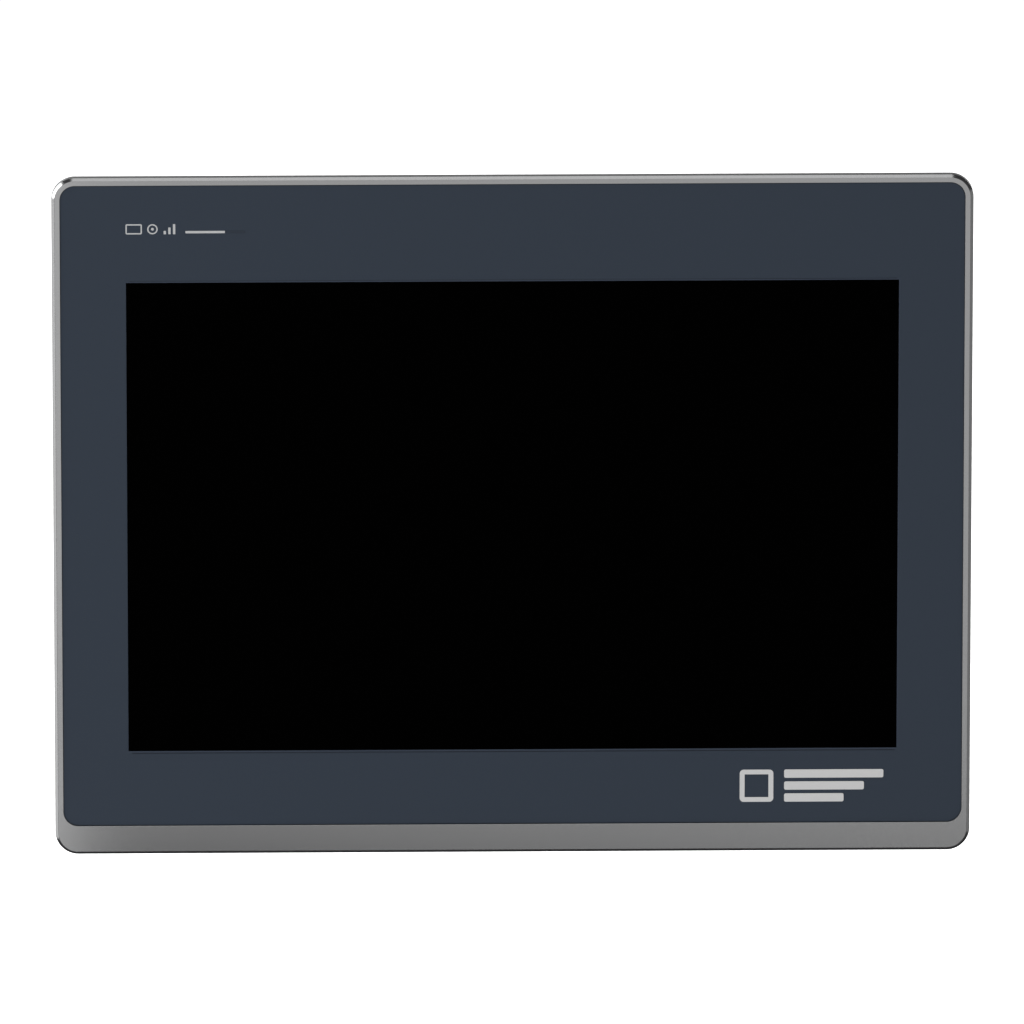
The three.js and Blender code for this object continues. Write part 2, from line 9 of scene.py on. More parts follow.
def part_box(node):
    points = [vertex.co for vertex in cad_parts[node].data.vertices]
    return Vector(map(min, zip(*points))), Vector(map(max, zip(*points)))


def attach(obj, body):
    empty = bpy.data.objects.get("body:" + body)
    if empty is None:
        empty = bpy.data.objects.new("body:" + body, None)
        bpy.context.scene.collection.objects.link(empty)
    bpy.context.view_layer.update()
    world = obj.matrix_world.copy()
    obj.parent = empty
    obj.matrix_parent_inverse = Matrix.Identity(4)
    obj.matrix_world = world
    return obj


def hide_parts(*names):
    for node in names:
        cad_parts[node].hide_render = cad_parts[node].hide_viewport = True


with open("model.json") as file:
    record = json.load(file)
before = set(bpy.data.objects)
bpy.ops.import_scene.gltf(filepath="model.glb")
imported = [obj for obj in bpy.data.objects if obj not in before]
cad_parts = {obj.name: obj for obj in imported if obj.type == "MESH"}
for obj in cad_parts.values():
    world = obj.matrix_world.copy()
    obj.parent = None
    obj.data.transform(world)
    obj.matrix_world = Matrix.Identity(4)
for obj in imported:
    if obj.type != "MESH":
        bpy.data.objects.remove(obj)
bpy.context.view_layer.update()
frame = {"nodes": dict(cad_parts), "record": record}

MM = 0.001

# ---------------------------------------------------------------- sizes, in metres, from the frame

BEZEL_LOW, BEZEL_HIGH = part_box("front_bezel")
FILM_LOW, FILM_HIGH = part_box("front_overlay")
GLASS_LOW, GLASS_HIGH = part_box("touch_glass")
GASKET_LOW, GASKET_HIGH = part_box("panel_gasket")

FRAME_SIZE = (BEZEL_HIGH.x - BEZEL_LOW.x, BEZEL_HIGH.z - BEZEL_LOW.z)
FILM_SIZE = (FILM_HIGH.x - FILM_LOW.x, FILM_HIGH.z - FILM_LOW.z)
GLASS_SIZE = (GLASS_HIGH.x - GLASS_LOW.x, GLASS_HIGH.z - GLASS_LOW.z)
GASKET_SIZE = (GASKET_HIGH.x - GASKET_LOW.x, GASKET_HIGH.z - GASKET_LOW.z)
FILM_Z = (FILM_HIGH.z + FILM_LOW.z) / 2  # the film sits a little above the frame's middle
FILM_FRONT = FILM_LOW.y
COVER_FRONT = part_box("rear_cover")[0].y
COVER_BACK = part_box("rear_cover")[1].y - 0.03 * MM  # the cover's rear face, with room for print

FRAME_RADIUS = 8 * MM
EDGE = 1.05 * MM  # chamfer round the front of the frame
FLANK = 2.2 * MM  # straight side behind it
SKIRT_INSET = 1.2 * MM  # how far the skirt behind the flank stands in
FILM_RADIUS = 5.05 * MM
FILM_GAP = 0.15 * MM  # all round, between the film and its recess
GLASS_GAP = 0.2 * MM  # all round, between the touch glass and its pocket
SHELF_FRONT, SHELF_BACK = -2.9 * MM, -1.4 * MM  # the shelf between the glass and the display, in y
SHELF_OPENING = (267 * MM, 170 * MM, 1.5 * MM)  # width, height and corner radius
BACK_OPENING = (290 * MM, 200 * MM, 3 * MM)  # the same, behind the shelf
GASKET_RADIUS = 7 * MM
GASKET_WIDTH = 3 * MM
GROOVE_GAP = 0.2 * MM  # on both sides of the gasket in its groove
WINDOW = (264.3 * MM, 167.3 * MM)
MARK_THICKNESS = 0.02 * MM  # thickness of flat marks, print and painted shade lines alike
LIFT = 0.001 * MM  # how far a flat mark's underside stands off the face below it
HAIR = 0.05 * MM  # the smallest corner radius that is drawn

# ---------------------------------------------------------------- mesh helpers

WELD = 1e-6  # metres; points closer than this are one point
FLAT_ANGLE = math.radians(0.5)  # faces that turn less than this are one flat face
BEVEL_ANGLE = 28  # degrees; edges sharper than this get a radius
SMOOTH_ANGLE = 35  # degrees; edges sharper than this stay sharp when shaded


def body_of(node):
    """The CAD body that a node belongs to."""
    for body, members in frame["record"]["behaviour"]["bodies"].items():
        if node in members:
            return body
    raise KeyError(node)


def slot_of(node):
    """The record's material slot of a node."""
    return next(s["material_slot"] for s in frame["record"]["subparts"] if s["node"] == node)


def make_piece(name, mesh, material, body, replaces=()):
    """Links a mesh as a piece that rides on a CAD body."""
    piece = bpy.data.objects.new(name, mesh)
    bpy.context.scene.collection.objects.link(piece)
    mesh.materials.append(material)
    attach(piece, body)
    if replaces:
        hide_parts(*replaces)
    return piece


def bevel(piece, width, segments=2):
    """Puts a radius on the sharp edges, and keeps the large faces flat."""
    modifier = piece.modifiers.new("edge_radius", "BEVEL")
    modifier.width = width
    modifier.segments = segments
    modifier.limit_method = "ANGLE"
    modifier.angle_limit = math.radians(BEVEL_ANGLE)
    modifier.use_clamp_overlap = True
    flatten = piece.modifiers.new("flat_faces", "WEIGHTED_NORMAL")
    flatten.keep_sharp = True
    flatten.weight = 90  # out of 100; large faces count for most of a normal
    shade(piece.data)


def shade(mesh, angle=SMOOTH_ANGLE):
    """Smooth shading, with edges sharper than an angle in degrees kept sharp."""
    mesh.polygons.foreach_set("use_smooth", [True] * len(mesh.polygons))
    mesh.set_sharp_from_angle(angle=math.radians(angle))


def mesh_from(name, vertices, faces):
    """A mesh with its faces turned outwards."""
    mesh = bpy.data.meshes.new(name)
    mesh.from_pydata([tuple(v) for v in vertices], [], faces)
    mesh.validate()
    work = bmesh.new()
    work.from_mesh(mesh)
    bmesh.ops.recalc_face_normals(work, faces=work.faces)
    work.to_mesh(mesh)
    work.free()
    return mesh


def outline(width, height, radius, x=0.0, z=0.0, steps=16):
    """Points of a rounded rectangle, anticlockwise from the right as seen from the front."""
    points = []
    corners = ((1, 1), (-1, 1), (-1, -1), (1, -1))
    for quarter, (right, up) in enumerate(corners):
        cx = x + right * (width / 2 - radius)
        cz = z + up * (height / 2 - radius)
        for i in range(steps + 1):
            angle = (quarter + i / steps) * math.pi / 2
            points.append((cx + radius * math.cos(angle), cz + radius * math.sin(angle)))
    return points


def solid(rings, closed=False):
    """Vertices and faces through rings of points; closed joins the last ring to the first."""
    count = len(rings[0])
    vertices = [v for ring in rings for v in ring]
    faces = []
    for r in range(len(rings) if closed else len(rings) - 1):
        a, b = r * count, ((r + 1) % len(rings)) * count
        for i in range(count):
            j = (i + 1) % count
            faces.append((a + i, b + i, b + j, a + j))
    if not closed:
        faces.append(tuple(range(count)))
        faces.append(tuple((len(rings) - 1) * count + i for i in reversed(range(count))))
    return vertices, faces


def bundle(name, solids):
    """One mesh of several solids."""
    vertices = []
    faces = []
    for points, sides in solids:
        start = len(vertices)
        vertices += points
        faces += [tuple(start + i for i in side) for side in sides]
    return mesh_from(name, vertices, faces)


def loft(name, rings, closed=False):
    """A mesh of one solid through rings of points."""
    return bundle(name, [solid(rings, closed)])


def ring_at(points, y):
    """Points of the front view, placed at a level of y."""
    return [(x, y, z) for x, z in points]


def prism(points, axis, low, high):
    """A solid with a flat outline; its points leave out the axis that it runs along."""
    rings = []
    for along in (low, high):
        ring = [list(point) for point in points]
        for point in ring:
            point.insert("xyz".index(axis), along)
        rings.append(ring)
    return solid(rings)


def rectangle(u0, u1, v0, v1):
    return [(u0, v0), (u1, v0), (u1, v1), (u0, v1)]


def circle(radius, u, v, steps=16):
    angles = [2 * math.pi * i / steps for i in range(steps)]
    return [(u + radius * math.cos(a), v + radius * math.sin(a)) for a in angles]


def middle_of(node):
    """The middle of a CAD node's box."""
    low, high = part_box(node)
    return (low + high) / 2


def copy_of(node, name):
    """A copy of a CAD node's mesh with its flat faces made whole."""
    mesh = frame["nodes"][node].data.copy()
    mesh.name = name
    mesh.materials.clear()
    work = bmesh.new()
    work.from_mesh(mesh)
    bmesh.ops.remove_doubles(work, verts=work.verts, dist=WELD)
    bmesh.ops.dissolve_limit(work, angle_limit=FLAT_ANGLE, verts=work.verts, edges=work.edges)
    work.to_mesh(mesh)
    work.free()
    return mesh


def stand_in(node, mesh, radius=None):
    """Makes a copy of a CAD node's mesh the piece that stands for it, in its slot's finish."""
    slot = slot_of(node)
    if radius is None:
        radius = EDGE_RADII[slot] * MM
    piece = make_piece(mesh.name, mesh, SLOT_MATERIALS[slot], body_of(node), [node])
    bevel(piece, radius)


def soften(node, radius=None, span=(-math.inf, math.inf)):
    """A CAD node's stand-in with a radius on its edges, kept inside a span of y."""
    mesh = copy_of(node, f"{node}_finish")
    for vertex in mesh.vertices:
        vertex.co.y = min(max(vertex.co.y, span[0]), span[1])
    stand_in(node, mesh, radius)


# ---------------------------------------------------------------- materials


def node_material(name, color, roughness, metallic=0.0, specular=0.5):
    """A principled material; returns it with its node tree, shader and object coordinates."""
    material = bpy.data.materials.new(name)
    material.use_nodes = True
    tree = material.node_tree
    shader = tree.nodes["Principled BSDF"]
    shader.inputs["Base Color"].default_value = (*color, 1)
    shader.inputs["Roughness"].default_value = roughness
    shader.inputs["Metallic"].default_value = metallic
    shader.inputs["Specular IOR Level"].default_value = specular
    place = tree.nodes.new("ShaderNodeTexCoord").outputs["Object"]
    return material, tree, shader, place


def noise(tree, place, scale, detail=2.0, stretch=None):
    """A noise value from 0 to 1; stretch squeezes the coordinates along each axis."""
    if stretch:
        mapping = tree.nodes.new("ShaderNodeMapping")
        mapping.inputs["Scale"].default_value = stretch
        tree.links.new(place, mapping.inputs["Vector"])
        place = mapping.outputs["Vector"]
    node = tree.nodes.new("ShaderNodeTexNoise")
    node.inputs["Scale"].default_value = scale
    node.inputs["Detail"].default_value = detail
    tree.links.new(place, node.inputs["Vector"])
    return node.outputs["Fac"]


def between(tree, value, low, high, source=(0.25, 0.75)):
    """Maps a value in source to the range from low to high."""
    node = tree.nodes.new("ShaderNodeMapRange")
    node.inputs["From Min"].default_value = source[0]
    node.inputs["From Max"].default_value = source[1]
    node.inputs["To Min"].default_value = low
    node.inputs["To Max"].default_value = high
    tree.links.new(value, node.inputs["Value"])
    return node.outputs["Result"]


def mix_colors(tree, factor, first, second):
    """Blends two colours by a factor."""
    node = tree.nodes.new("ShaderNodeMix")
    node.data_type = "RGBA"
    color_a, color_b, color_result = node.inputs[6], node.inputs[7], node.outputs[2]
    tree.links.new(factor, node.inputs["Factor"])
    color_a.default_value = (*first, 1)
    color_b.default_value = (*second, 1)
    return color_result


def add_bump(tree, shader, height, strength, distance):
    """A fine relief on a shader, from a height value; distance is in metres."""
    node = tree.nodes.new("ShaderNodeBump")
    node.inputs["Strength"].default_value = strength
    node.inputs["Distance"].default_value = distance
    tree.links.new(height, node.inputs["Height"])
    tree.links.new(node.outputs["Normal"], shader.inputs["Normal"])


def scaled(color, factor):
    """A colour made lighter or darker."""
    return tuple(min(1.0, c * factor) for c in color)


def surface(
    name, color, roughness, metallic=0.0, specular=0.5,
    mottle=(300, 0.04), rough_spread=0.05, grain=(3000, 0.1, 0.02 * MM), stretch=None,
):
    """
    A plain finish with faint colour mottling, uneven gloss and a fine grain.

    mottle is (scale, amount), grain is (scale, strength, distance), and stretch squeezes all
    three patterns along each axis.
    """
    material, tree, shader, place = node_material(name, color, roughness, metallic, specular)
    mottle_scale, mottle_amount = mottle
    patches = noise(tree, place, mottle_scale, 3, stretch)
    shaded = mix_colors(
        tree, patches, scaled(color, 1 - mottle_amount), scaled(color, 1 + mottle_amount)
    )
    tree.links.new(shaded, shader.inputs["Base Color"])
    gloss = between(tree, noise(tree, place, mottle_scale * 2.3, 2, stretch),
                    roughness - rough_spread, roughness + rough_spread)
    tree.links.new(gloss, shader.inputs["Roughness"])
    grain_scale, strength, distance = grain
    add_bump(tree, shader, noise(tree, place, grain_scale, 2, stretch), strength, distance)
    return material


def from_srgb(*levels):
    """A linear colour from 8-bit screen levels."""
    return tuple(((v / 255 + 0.055) / 1.055) ** 2.4 if v > 10 else v / 255 / 12.92 for v in levels)


SILVER = surface(
    "frame_silver", (0.60, 0.602, 0.605), 0.20, metallic=1.0,
    mottle=(900, 0.015), rough_spread=0.03, grain=(9000, 0.06, 0.01 * MM),
)
# dark paint for the frame's body behind the silver trim; on the outer flank it is also painted shade,
# a dark line round the frame's outer edge
DARK_BODY_AND_FLANK_SHADE = surface(
    "frame_body_and_flank_shade", (0.075, 0.076, 0.078), 0.5, mottle=(500, 0.06), grain=(6000, 0.2, 0.02 * MM)
)
FILM = surface(
    "overlay_film", from_srgb(46.5, 55, 66.5), 0.55, specular=0.15,
    mottle=(1500, 0.02), rough_spread=0.04, grain=(7000, 0.12, 0.012 * MM),
)
WINDOW_BLACK = surface(
    "window_black", (0.0002, 0.0002, 0.0002), 0.12, specular=0.005,
    mottle=(60, 0.1), rough_spread=0.02, grain=(8000, 0.02, 0.004 * MM),
)
PRINT_GREY = surface(
    "print_grey", from_srgb(178, 179, 180), 0.55, specular=0.2,
    mottle=(2500, 0.03), rough_spread=0.03, grain=(9000, 0.08, 0.008 * MM),
)
PRINT_LIGHT = surface(
    "print_light", from_srgb(193, 193, 193), 0.55, specular=0.2,
    mottle=(2500, 0.03), rough_spread=0.03, grain=(9000, 0.08, 0.008 * MM),
)
LINE_LIGHT = surface(
    "window_line_light", from_srgb(47, 56, 71), 0.5, specular=0.25,
    mottle=(1500, 0.02), rough_spread=0.04, grain=(7000, 0.12, 0.012 * MM),
)
# painted shade: the dark tone of the shadow lines along the window's edges and round the status lens
SHADE_LINE = surface(
    "painted_shade_line", from_srgb(24, 31, 42), 0.5, specular=0.25,
    mottle=(1500, 0.02), rough_spread=0.04, grain=(7000, 0.12, 0.012 * MM),
)
LENS_TINT = surface(
    "lens_tint", from_srgb(46, 54, 65.5), 0.4, specular=0.2,
    mottle=(700, 0.03), rough_spread=0.04, grain=(6000, 0.04, 0.005 * MM),
)
RUBBER = surface(
    "gasket_rubber", (0.012, 0.012, 0.013), 0.8, specular=0.3,
    mottle=(400, 0.15), rough_spread=0.08, grain=(5000, 0.35, 0.03 * MM),
)
FOAM = surface(
    "foam", (0.02, 0.02, 0.021), 0.95, specular=0.2,
    mottle=(2500, 0.3), rough_spread=0.04, grain=(2500, 0.6, 0.08 * MM),
)
HOUSING = surface(
    "housing_plastic", (0.070, 0.076, 0.084), 0.55, specular=0.45,
    mottle=(120, 0.05), rough_spread=0.05, grain=(2600, 0.32, 0.03 * MM),
)
BLACK_PLASTIC = surface(
    "black_plastic", (0.014, 0.0145, 0.016), 0.45,
    mottle=(250, 0.12), rough_spread=0.07, grain=(3500, 0.2, 0.02 * MM),
)
STEEL = surface(
    "sheet_steel", (0.55, 0.56, 0.57), 0.35, metallic=1.0,
    mottle=(220, 0.06), rough_spread=0.08, grain=(2500, 0.08, 0.01 * MM), stretch=(1, 1, 12),
)
NICKEL = surface(
    "connector_nickel", (0.60, 0.585, 0.55), 0.3, metallic=1.0,
    mottle=(500, 0.03), rough_spread=0.05, grain=(6000, 0.03, 0.005 * MM), stretch=(1, 4, 1),
)
ZINC = surface(
    "screw_zinc", (0.58, 0.58, 0.57), 0.34, metallic=1.0,
    mottle=(900, 0.08), rough_spread=0.09, grain=(5000, 0.1, 0.01 * MM),
)
GOLD = surface(
    "contact_gold", (0.83, 0.58, 0.22), 0.25, metallic=1.0,
    mottle=(900, 0.05), rough_spread=0.05, grain=(6000, 0.05, 0.005 * MM),
)
ALUMINIUM = surface(
    "bare_aluminium", (0.62, 0.63, 0.64), 0.38, metallic=1.0,
    mottle=(260, 0.05), rough_spread=0.07, grain=(3000, 0.08, 0.01 * MM), stretch=(1, 1, 10),
)
BOARD_GREEN = surface(
    "board_green", (0.012, 0.085, 0.03), 0.35, specular=0.5,
    mottle=(160, 0.25), rough_spread=0.06, grain=(1200, 0.12, 0.02 * MM),
)
CHIP = surface(
    "chip_epoxy", (0.012, 0.012, 0.013), 0.55,
    mottle=(800, 0.15), rough_spread=0.06, grain=(6000, 0.25, 0.02 * MM),
)
TERMINAL = surface(
    "terminal_green", (0.02, 0.16, 0.07), 0.42,
    mottle=(300, 0.07), rough_spread=0.06, grain=(3000, 0.15, 0.015 * MM),
)
CLEAR = surface(
    "clear_moulding", (0.62, 0.68, 0.72), 0.15,
    mottle=(200, 0.03), rough_spread=0.04, grain=(2500, 0.04, 0.005 * MM),
)
WHITE_FILM = surface(
    "white_film", (0.78, 0.78, 0.76), 0.6,
    mottle=(200, 0.03), rough_spread=0.05, grain=(3000, 0.1, 0.01 * MM),
)
RIBBON = surface(
    "ribbon_amber", (0.42, 0.20, 0.035), 0.35, specular=0.5,
    mottle=(1500, 0.12), rough_spread=0.06, grain=(1800, 0.1, 0.01 * MM), stretch=(3, 1, 1),
)
GREEN_LENS = surface(
    "lens_green", (0.02, 0.20, 0.05), 0.25, specular=0.5,
    mottle=(900, 0.06), rough_spread=0.05, grain=(6000, 0.05, 0.005 * MM),
)
AMBER_LENS = surface(
    "lens_amber", (0.45, 0.20, 0.015), 0.25, specular=0.5,
    mottle=(900, 0.06), rough_spread=0.05, grain=(6000, 0.05, 0.005 * MM),
)
LABEL_PRINT = surface(
    "label_print", (0.045, 0.047, 0.05), 0.5,
    mottle=(1500, 0.1), rough_spread=0.05, grain=(7000, 0.1, 0.008 * MM),
)
LABEL = surface(
    "label_film", (0.50, 0.51, 0.52), 0.42, metallic=0.3,
    mottle=(900, 0.03), rough_spread=0.05, grain=(5000, 0.08, 0.008 * MM), stretch=(1, 1, 8),
)

SLOT_MATERIALS = {
    "bezel_silver": SILVER, "overlay_film": FILM, "touch_glass": WINDOW_BLACK,
    "lcd_glass": WINDOW_BLACK, "clear_plastic": CLEAR, "foam": FOAM, "gasket_rubber": RUBBER,
    "sheet_steel": STEEL, "white_film": WHITE_FILM, "circuit_board": BOARD_GREEN,
    "chip_black": CHIP, "bare_aluminium": ALUMINIUM, "housing_plastic": HOUSING,
    "black_plastic": BLACK_PLASTIC, "terminal_green": TERMINAL, "connector_metal": NICKEL,
    "ribbon": RIBBON, "label_film": LABEL, "screw_steel": ZINC,
}
EDGE_RADII = {  # in millimetres, on the edges of a node in each slot
    "touch_glass": 0.1, "lcd_glass": 0.1, "clear_plastic": 0.08, "foam": 0.08,
    "gasket_rubber": 0.3, "sheet_steel": 0.12, "white_film": 0.05, "circuit_board": 0.06,
    "chip_black": 0.15, "bare_aluminium": 0.15, "housing_plastic": 0.3, "black_plastic": 0.35,
    "terminal_green": 0.25, "connector_metal": 0.14, "ribbon": 0.05, "label_film": 0.06,
    "screw_steel": 0.14,
}


def dress_frame():
    """Gives every CAD node the finish of its slot, though pieces made below stand for them all."""
    for node, shown in frame["nodes"].items():
        shown.data.materials.clear()
        shown.data.materials.append(SLOT_MATERIALS[slot_of(node)])
        shade(shown.data)


# ---------------------------------------------------------------- camera, floor and lights

VIEW_ELEVATION = math.radians(16.39)
VIEW_AZIMUTH = math.radians(-0.96)
VIEW_DISTANCE = 6.86
VIEW_SHIFT = (0.216 * MM, -1.41 * MM)  # how far the window's centre sits off the view's axis
SENSOR, LENS = 36, 703.2  # millimetres


def make_camera():
    """Far off with a long lens, a little above the screen's normal."""
    sin_a, cos_a = math.sin(VIEW_AZIMUTH), math.cos(VIEW_AZIMUTH)
    sin_e, cos_e = math.sin(VIEW_ELEVATION), math.cos(VIEW_ELEVATION)
    back = Vector((sin_a * cos_e, -cos_a * cos_e, sin_e))
    right = Vector((cos_a, sin_a, 0))
    up = back.cross(right)
    target = Vector((0, FILM_FRONT, 0))
    camera = bpy.data.objects.new("camera", bpy.data.cameras.new("camera"))
    bpy.context.scene.collection.objects.link(camera)
    rotation = Matrix((right, up, back)).transposed().to_4x4()
    place = target + back * VIEW_DISTANCE - right * VIEW_SHIFT[0] - up * VIEW_SHIFT[1]
    camera.matrix_world = Matrix.Translation(place) @ rotation
    camera.data.sensor_width = SENSOR
    camera.data.lens = LENS
    camera.data.clip_start = 0.05
    camera.data.clip_end = 60
    bpy.context.scene.camera = camera


def softbox(name, centre, facing, size, radiance, roll=0.0):
    """A soft rectangular light: width and height in metres, radiance, and roll in degrees."""
    light = bpy.data.lights.new(name, "AREA")
    light.shape = "RECTANGLE"
    light.size, light.size_y = size
    light.energy = radiance * math.pi * size[0] * size[1]
    lamp = bpy.data.objects.new(name, light)
    bpy.context.scene.collection.objects.link(lamp)
    turn = Quaternion((0, 0, 1), math.radians(roll))
    lamp.rotation_euler = (Vector(facing).to_track_quat("-Z", "Y") @ turn).to_euler()
    lamp.location = centre
    lamp.visible_camera = False


def make_world():
    """Pale to the camera and dim to everything else, as in a studio with black walls."""
    world = bpy.data.worlds.new("studio")
    bpy.context.scene.world = world
    world.use_nodes = True
    tree = world.node_tree
    tree.nodes.clear()
    output = tree.nodes.new("ShaderNodeOutputWorld")
    shown, lit = tree.nodes.new("ShaderNodeBackground"), tree.nodes.new("ShaderNodeBackground")
    shown.inputs["Color"].default_value = (1, 1, 1, 1)
    lit.inputs["Color"].default_value = (0.04, 0.04, 0.042, 1)
    path = tree.nodes.new("ShaderNodeLightPath")
    mix = tree.nodes.new("ShaderNodeMixShader")
    tree.links.new(path.outputs["Is Camera Ray"], mix.inputs["Fac"])
    tree.links.new(lit.outputs["Background"], mix.inputs[1])
    tree.links.new(shown.outputs["Background"], mix.inputs[2])
    tree.links.new(mix.outputs["Shader"], output.inputs["Surface"])


def make_floor():
    """A plain pale floor well below the unit, out of its own reflections."""
    half, height = 12.0, -0.45
    corners = [(-half, -half), (half, -half), (half, half), (-half, half)]
    mesh = mesh_from("floor", [(x, y, height) for x, y in corners], [(0, 1, 2, 3)])
    material, tree, shader, place = node_material("floor_pale", (0.9, 0.9, 0.9), 0.9, specular=0.0)
    tone = mix_colors(tree, noise(tree, place, 3, 2), (0.88, 0.88, 0.88), (0.92, 0.92, 0.92))
    tree.links.new(tone, shader.inputs["Base Color"])
    shader.inputs["Emission Color"].default_value = (1, 1, 1, 1)
    shader.inputs["Emission Strength"].default_value = 1.0
    mesh.materials.append(material)
    floor = bpy.data.objects.new("floor", mesh)
    bpy.context.scene.collection.objects.link(floor)
    floor.visible_glossy = False


def make_lights():
    """Softboxes as (name, centre, direction it faces, size, radiance, roll)."""
    for settings in (
        ("front_wall", (0, -0.60, 0.297), (0, 1, 0), (1.6, 1.2), 0.45, -5.2),
        ("left_strip", (-0.245, -0.22, -0.05), (0, 1, 0), (0.19, 0.8), 0.13),
        ("low_left_strip", (-0.25, -0.22, -0.33), (0, 1, 0), (0.19, 0.35), 0.35),
        ("overhead", (0, -0.30, 1.0), (0, 0.29, -0.96), (0.63, 0.36), 0.75),
        ("left_column", (-1.12, -0.17, 0.485), (1, 0.1, -0.1), (0.4, 1.06), 3.0),
        ("left_card", (-1.15, -0.03, -0.42), (1, 0, 0.3), (0.6, 0.6), 0.78),
        ("right_card", (1.15, -0.03, -0.2), (-1, 0, 0.2), (0.6, 0.8), 0.20),
        ("behind_wall", (0, 2.2, 0.35), (0, -1, -0.05), (6.0, 3.6), 0.7),
        ("behind_left", (-0.9, 1.2, 0.9), (0.9, -1.2, -0.9), (0.8, 0.8), 8.0),
        ("behind_right", (1.2, 0.9, 0.4), (-1.2, -0.9, -0.4), (0.8, 0.8), 5.0),
    ):
        softbox(*settings)


# ---------------------------------------------------------------- front of the unit


def inset_frame(inset, y, size=FRAME_SIZE, radius=FRAME_RADIUS, z=0.0):
    """A ring parallel to the frame's outline, moved in by inset."""
    return ring_at(outline(size[0] - 2 * inset, size[1] - 2 * inset, radius - inset, z=z), y)


def make_front_frame():
    """The silver frame: chamfer, face, film recess, glass pocket and gasket groove in one ring."""
    front, land = BEZEL_LOW.y, BEZEL_HIGH.y
    shoulder = front + EDGE + FLANK
    film_floor = FILM_HIGH.y + 0.05 * MM  # just behind the film
    groove_floor = GASKET_LOW.y - 0.1 * MM  # just in front of the gasket
    groove_inner = GASKET_WIDTH + GROOVE_GAP
    pocket = (GLASS_SIZE[0] + 2 * GLASS_GAP, GLASS_SIZE[1] + 2 * GLASS_GAP, 0.5 * MM)
    recess = dict(size=FILM_SIZE, radius=FILM_RADIUS, z=FILM_Z)
    gasket = dict(size=GASKET_SIZE, radius=GASKET_RADIUS)
    rings = [
        inset_frame(SKIRT_INSET, land),
        inset_frame(SKIRT_INSET, shoulder),
        inset_frame(0, shoulder),
        inset_frame(0, front + EDGE),
        inset_frame(EDGE, front),
        inset_frame(-FILM_GAP, front, **recess),
        inset_frame(-FILM_GAP, film_floor, **recess),
        ring_at(outline(*pocket), film_floor),
        ring_at(outline(*pocket), SHELF_FRONT),
        ring_at(outline(*SHELF_OPENING), SHELF_FRONT),
        ring_at(outline(*SHELF_OPENING), SHELF_BACK),
        ring_at(outline(*BACK_OPENING), SHELF_BACK),
        ring_at(outline(*BACK_OPENING), land),
        inset_frame(groove_inner, land, **gasket),
        inset_frame(groove_inner, groove_floor, **gasket),
        inset_frame(-GROOVE_GAP, groove_floor, **gasket),
        inset_frame(-GROOVE_GAP, land, **gasket),
    ]
    mesh = loft("front_frame", rings, closed=True)
    piece = make_piece(
        "front_frame", mesh, SILVER, "panel_unit", ["front_bezel"]
    )
    mesh.materials.append(DARK_BODY_AND_FLANK_SHADE)
    # the flank, skirt and inner faces take the dark paint; on the flank it is painted shade along the
    # frame's outer edge
    silver, body = 0, 1
    for face in mesh.polygons:
        behind = min(mesh.vertices[v].co.y for v in face.vertices) > front + EDGE - WELD
        inside = face.center.y > film_floor - WELD
        face.material_index = body if behind or inside else silver
    bevel(piece, 0.12 * MM, 3)


def make_film():
    """The printed film, a flat ring round the window."""
    outer = outline(FILM_SIZE[0], FILM_SIZE[1], FILM_RADIUS, z=FILM_Z)
    inner = outline(WINDOW[0], WINDOW[1], HAIR)
    rings = [
        ring_at(outer, FILM_HIGH.y),
        ring_at(outer, FILM_FRONT),
        ring_at(inner, FILM_FRONT),
        ring_at(inner, FILM_HIGH.y),
    ]
    mesh = loft("overlay_film", rings, closed=True)
    piece = make_piece(
        "overlay_film", mesh, FILM, "panel_unit", ["front_overlay"]
    )
    bevel(piece, 0.06 * MM)


def make_screen():
    """The black screen seen through the window, flush with the film but for a very fine gap."""
    gap = 0.02 * MM
    points = outline(WINDOW[0] - gap, WINDOW[1] - gap, HAIR)
    screen = prism(points, "y", FILM_FRONT + gap, GLASS_LOW.y - gap / 2)
    mesh = bundle("screen_window", [screen])
    piece = make_piece("screen_window", mesh, WINDOW_BLACK, "panel_unit")
    bevel(piece, 0.03 * MM, 1)


def bar(x0, x1, z0, z1, radius=HAIR):
    """The outline of a bar with rounded corners."""
    return outline(x1 - x0, z1 - z0, radius, (x0 + x1) / 2, (z0 + z1) / 2, 6)


# draws print, and the painted shade lines along the window's edges too
def printed(points, level, height=MARK_THICKNESS):
    """A flat mark that stands off a face at a level of y; a negative height faces forwards."""
    lift = math.copysign(LIFT, height)
    return prism(points, "y", level + lift, level + height)


def ring_mark(x, z, outer, line, level, height=MARK_THICKNESS):
    """A thin flat line inside the outline of a rounded rectangle (width, height, radius)."""
    lift = math.copysign(LIFT, height)
    inner = (outer[0] - 2 * line, outer[1] - 2 * line, max(outer[2] - line, HAIR))
    steps = ((outer, lift), (outer, height), (inner, height), (inner, lift))
    return solid([ring_at(outline(*size, x, z, 8), level + y) for size, y in steps], closed=True)


def make_marks(name, solids, material):
    """Small solids as one piece of the unit: printed marks, painted shade lines and pins."""
    piece = make_piece(name, bundle(name, solids), material, "panel_unit")
    shade(piece.data)


def on_film(name, outlines, material=PRINT_GREY, height=MARK_THICKNESS):
    """Filled marks on the film's front."""
    solids = [printed(points, FILM_FRONT, -height) for points in outlines]
    make_marks(name, solids, material)


def ring_on_film(x, z, outer, line):
    """A thin line on the film's front, inside the outline of a rounded rectangle; print for the signs
    and emblem, painted shade round the status lens.
    """
    return ring_mark(x, z, outer, line, FILM_FRONT, -MARK_THICKNESS)


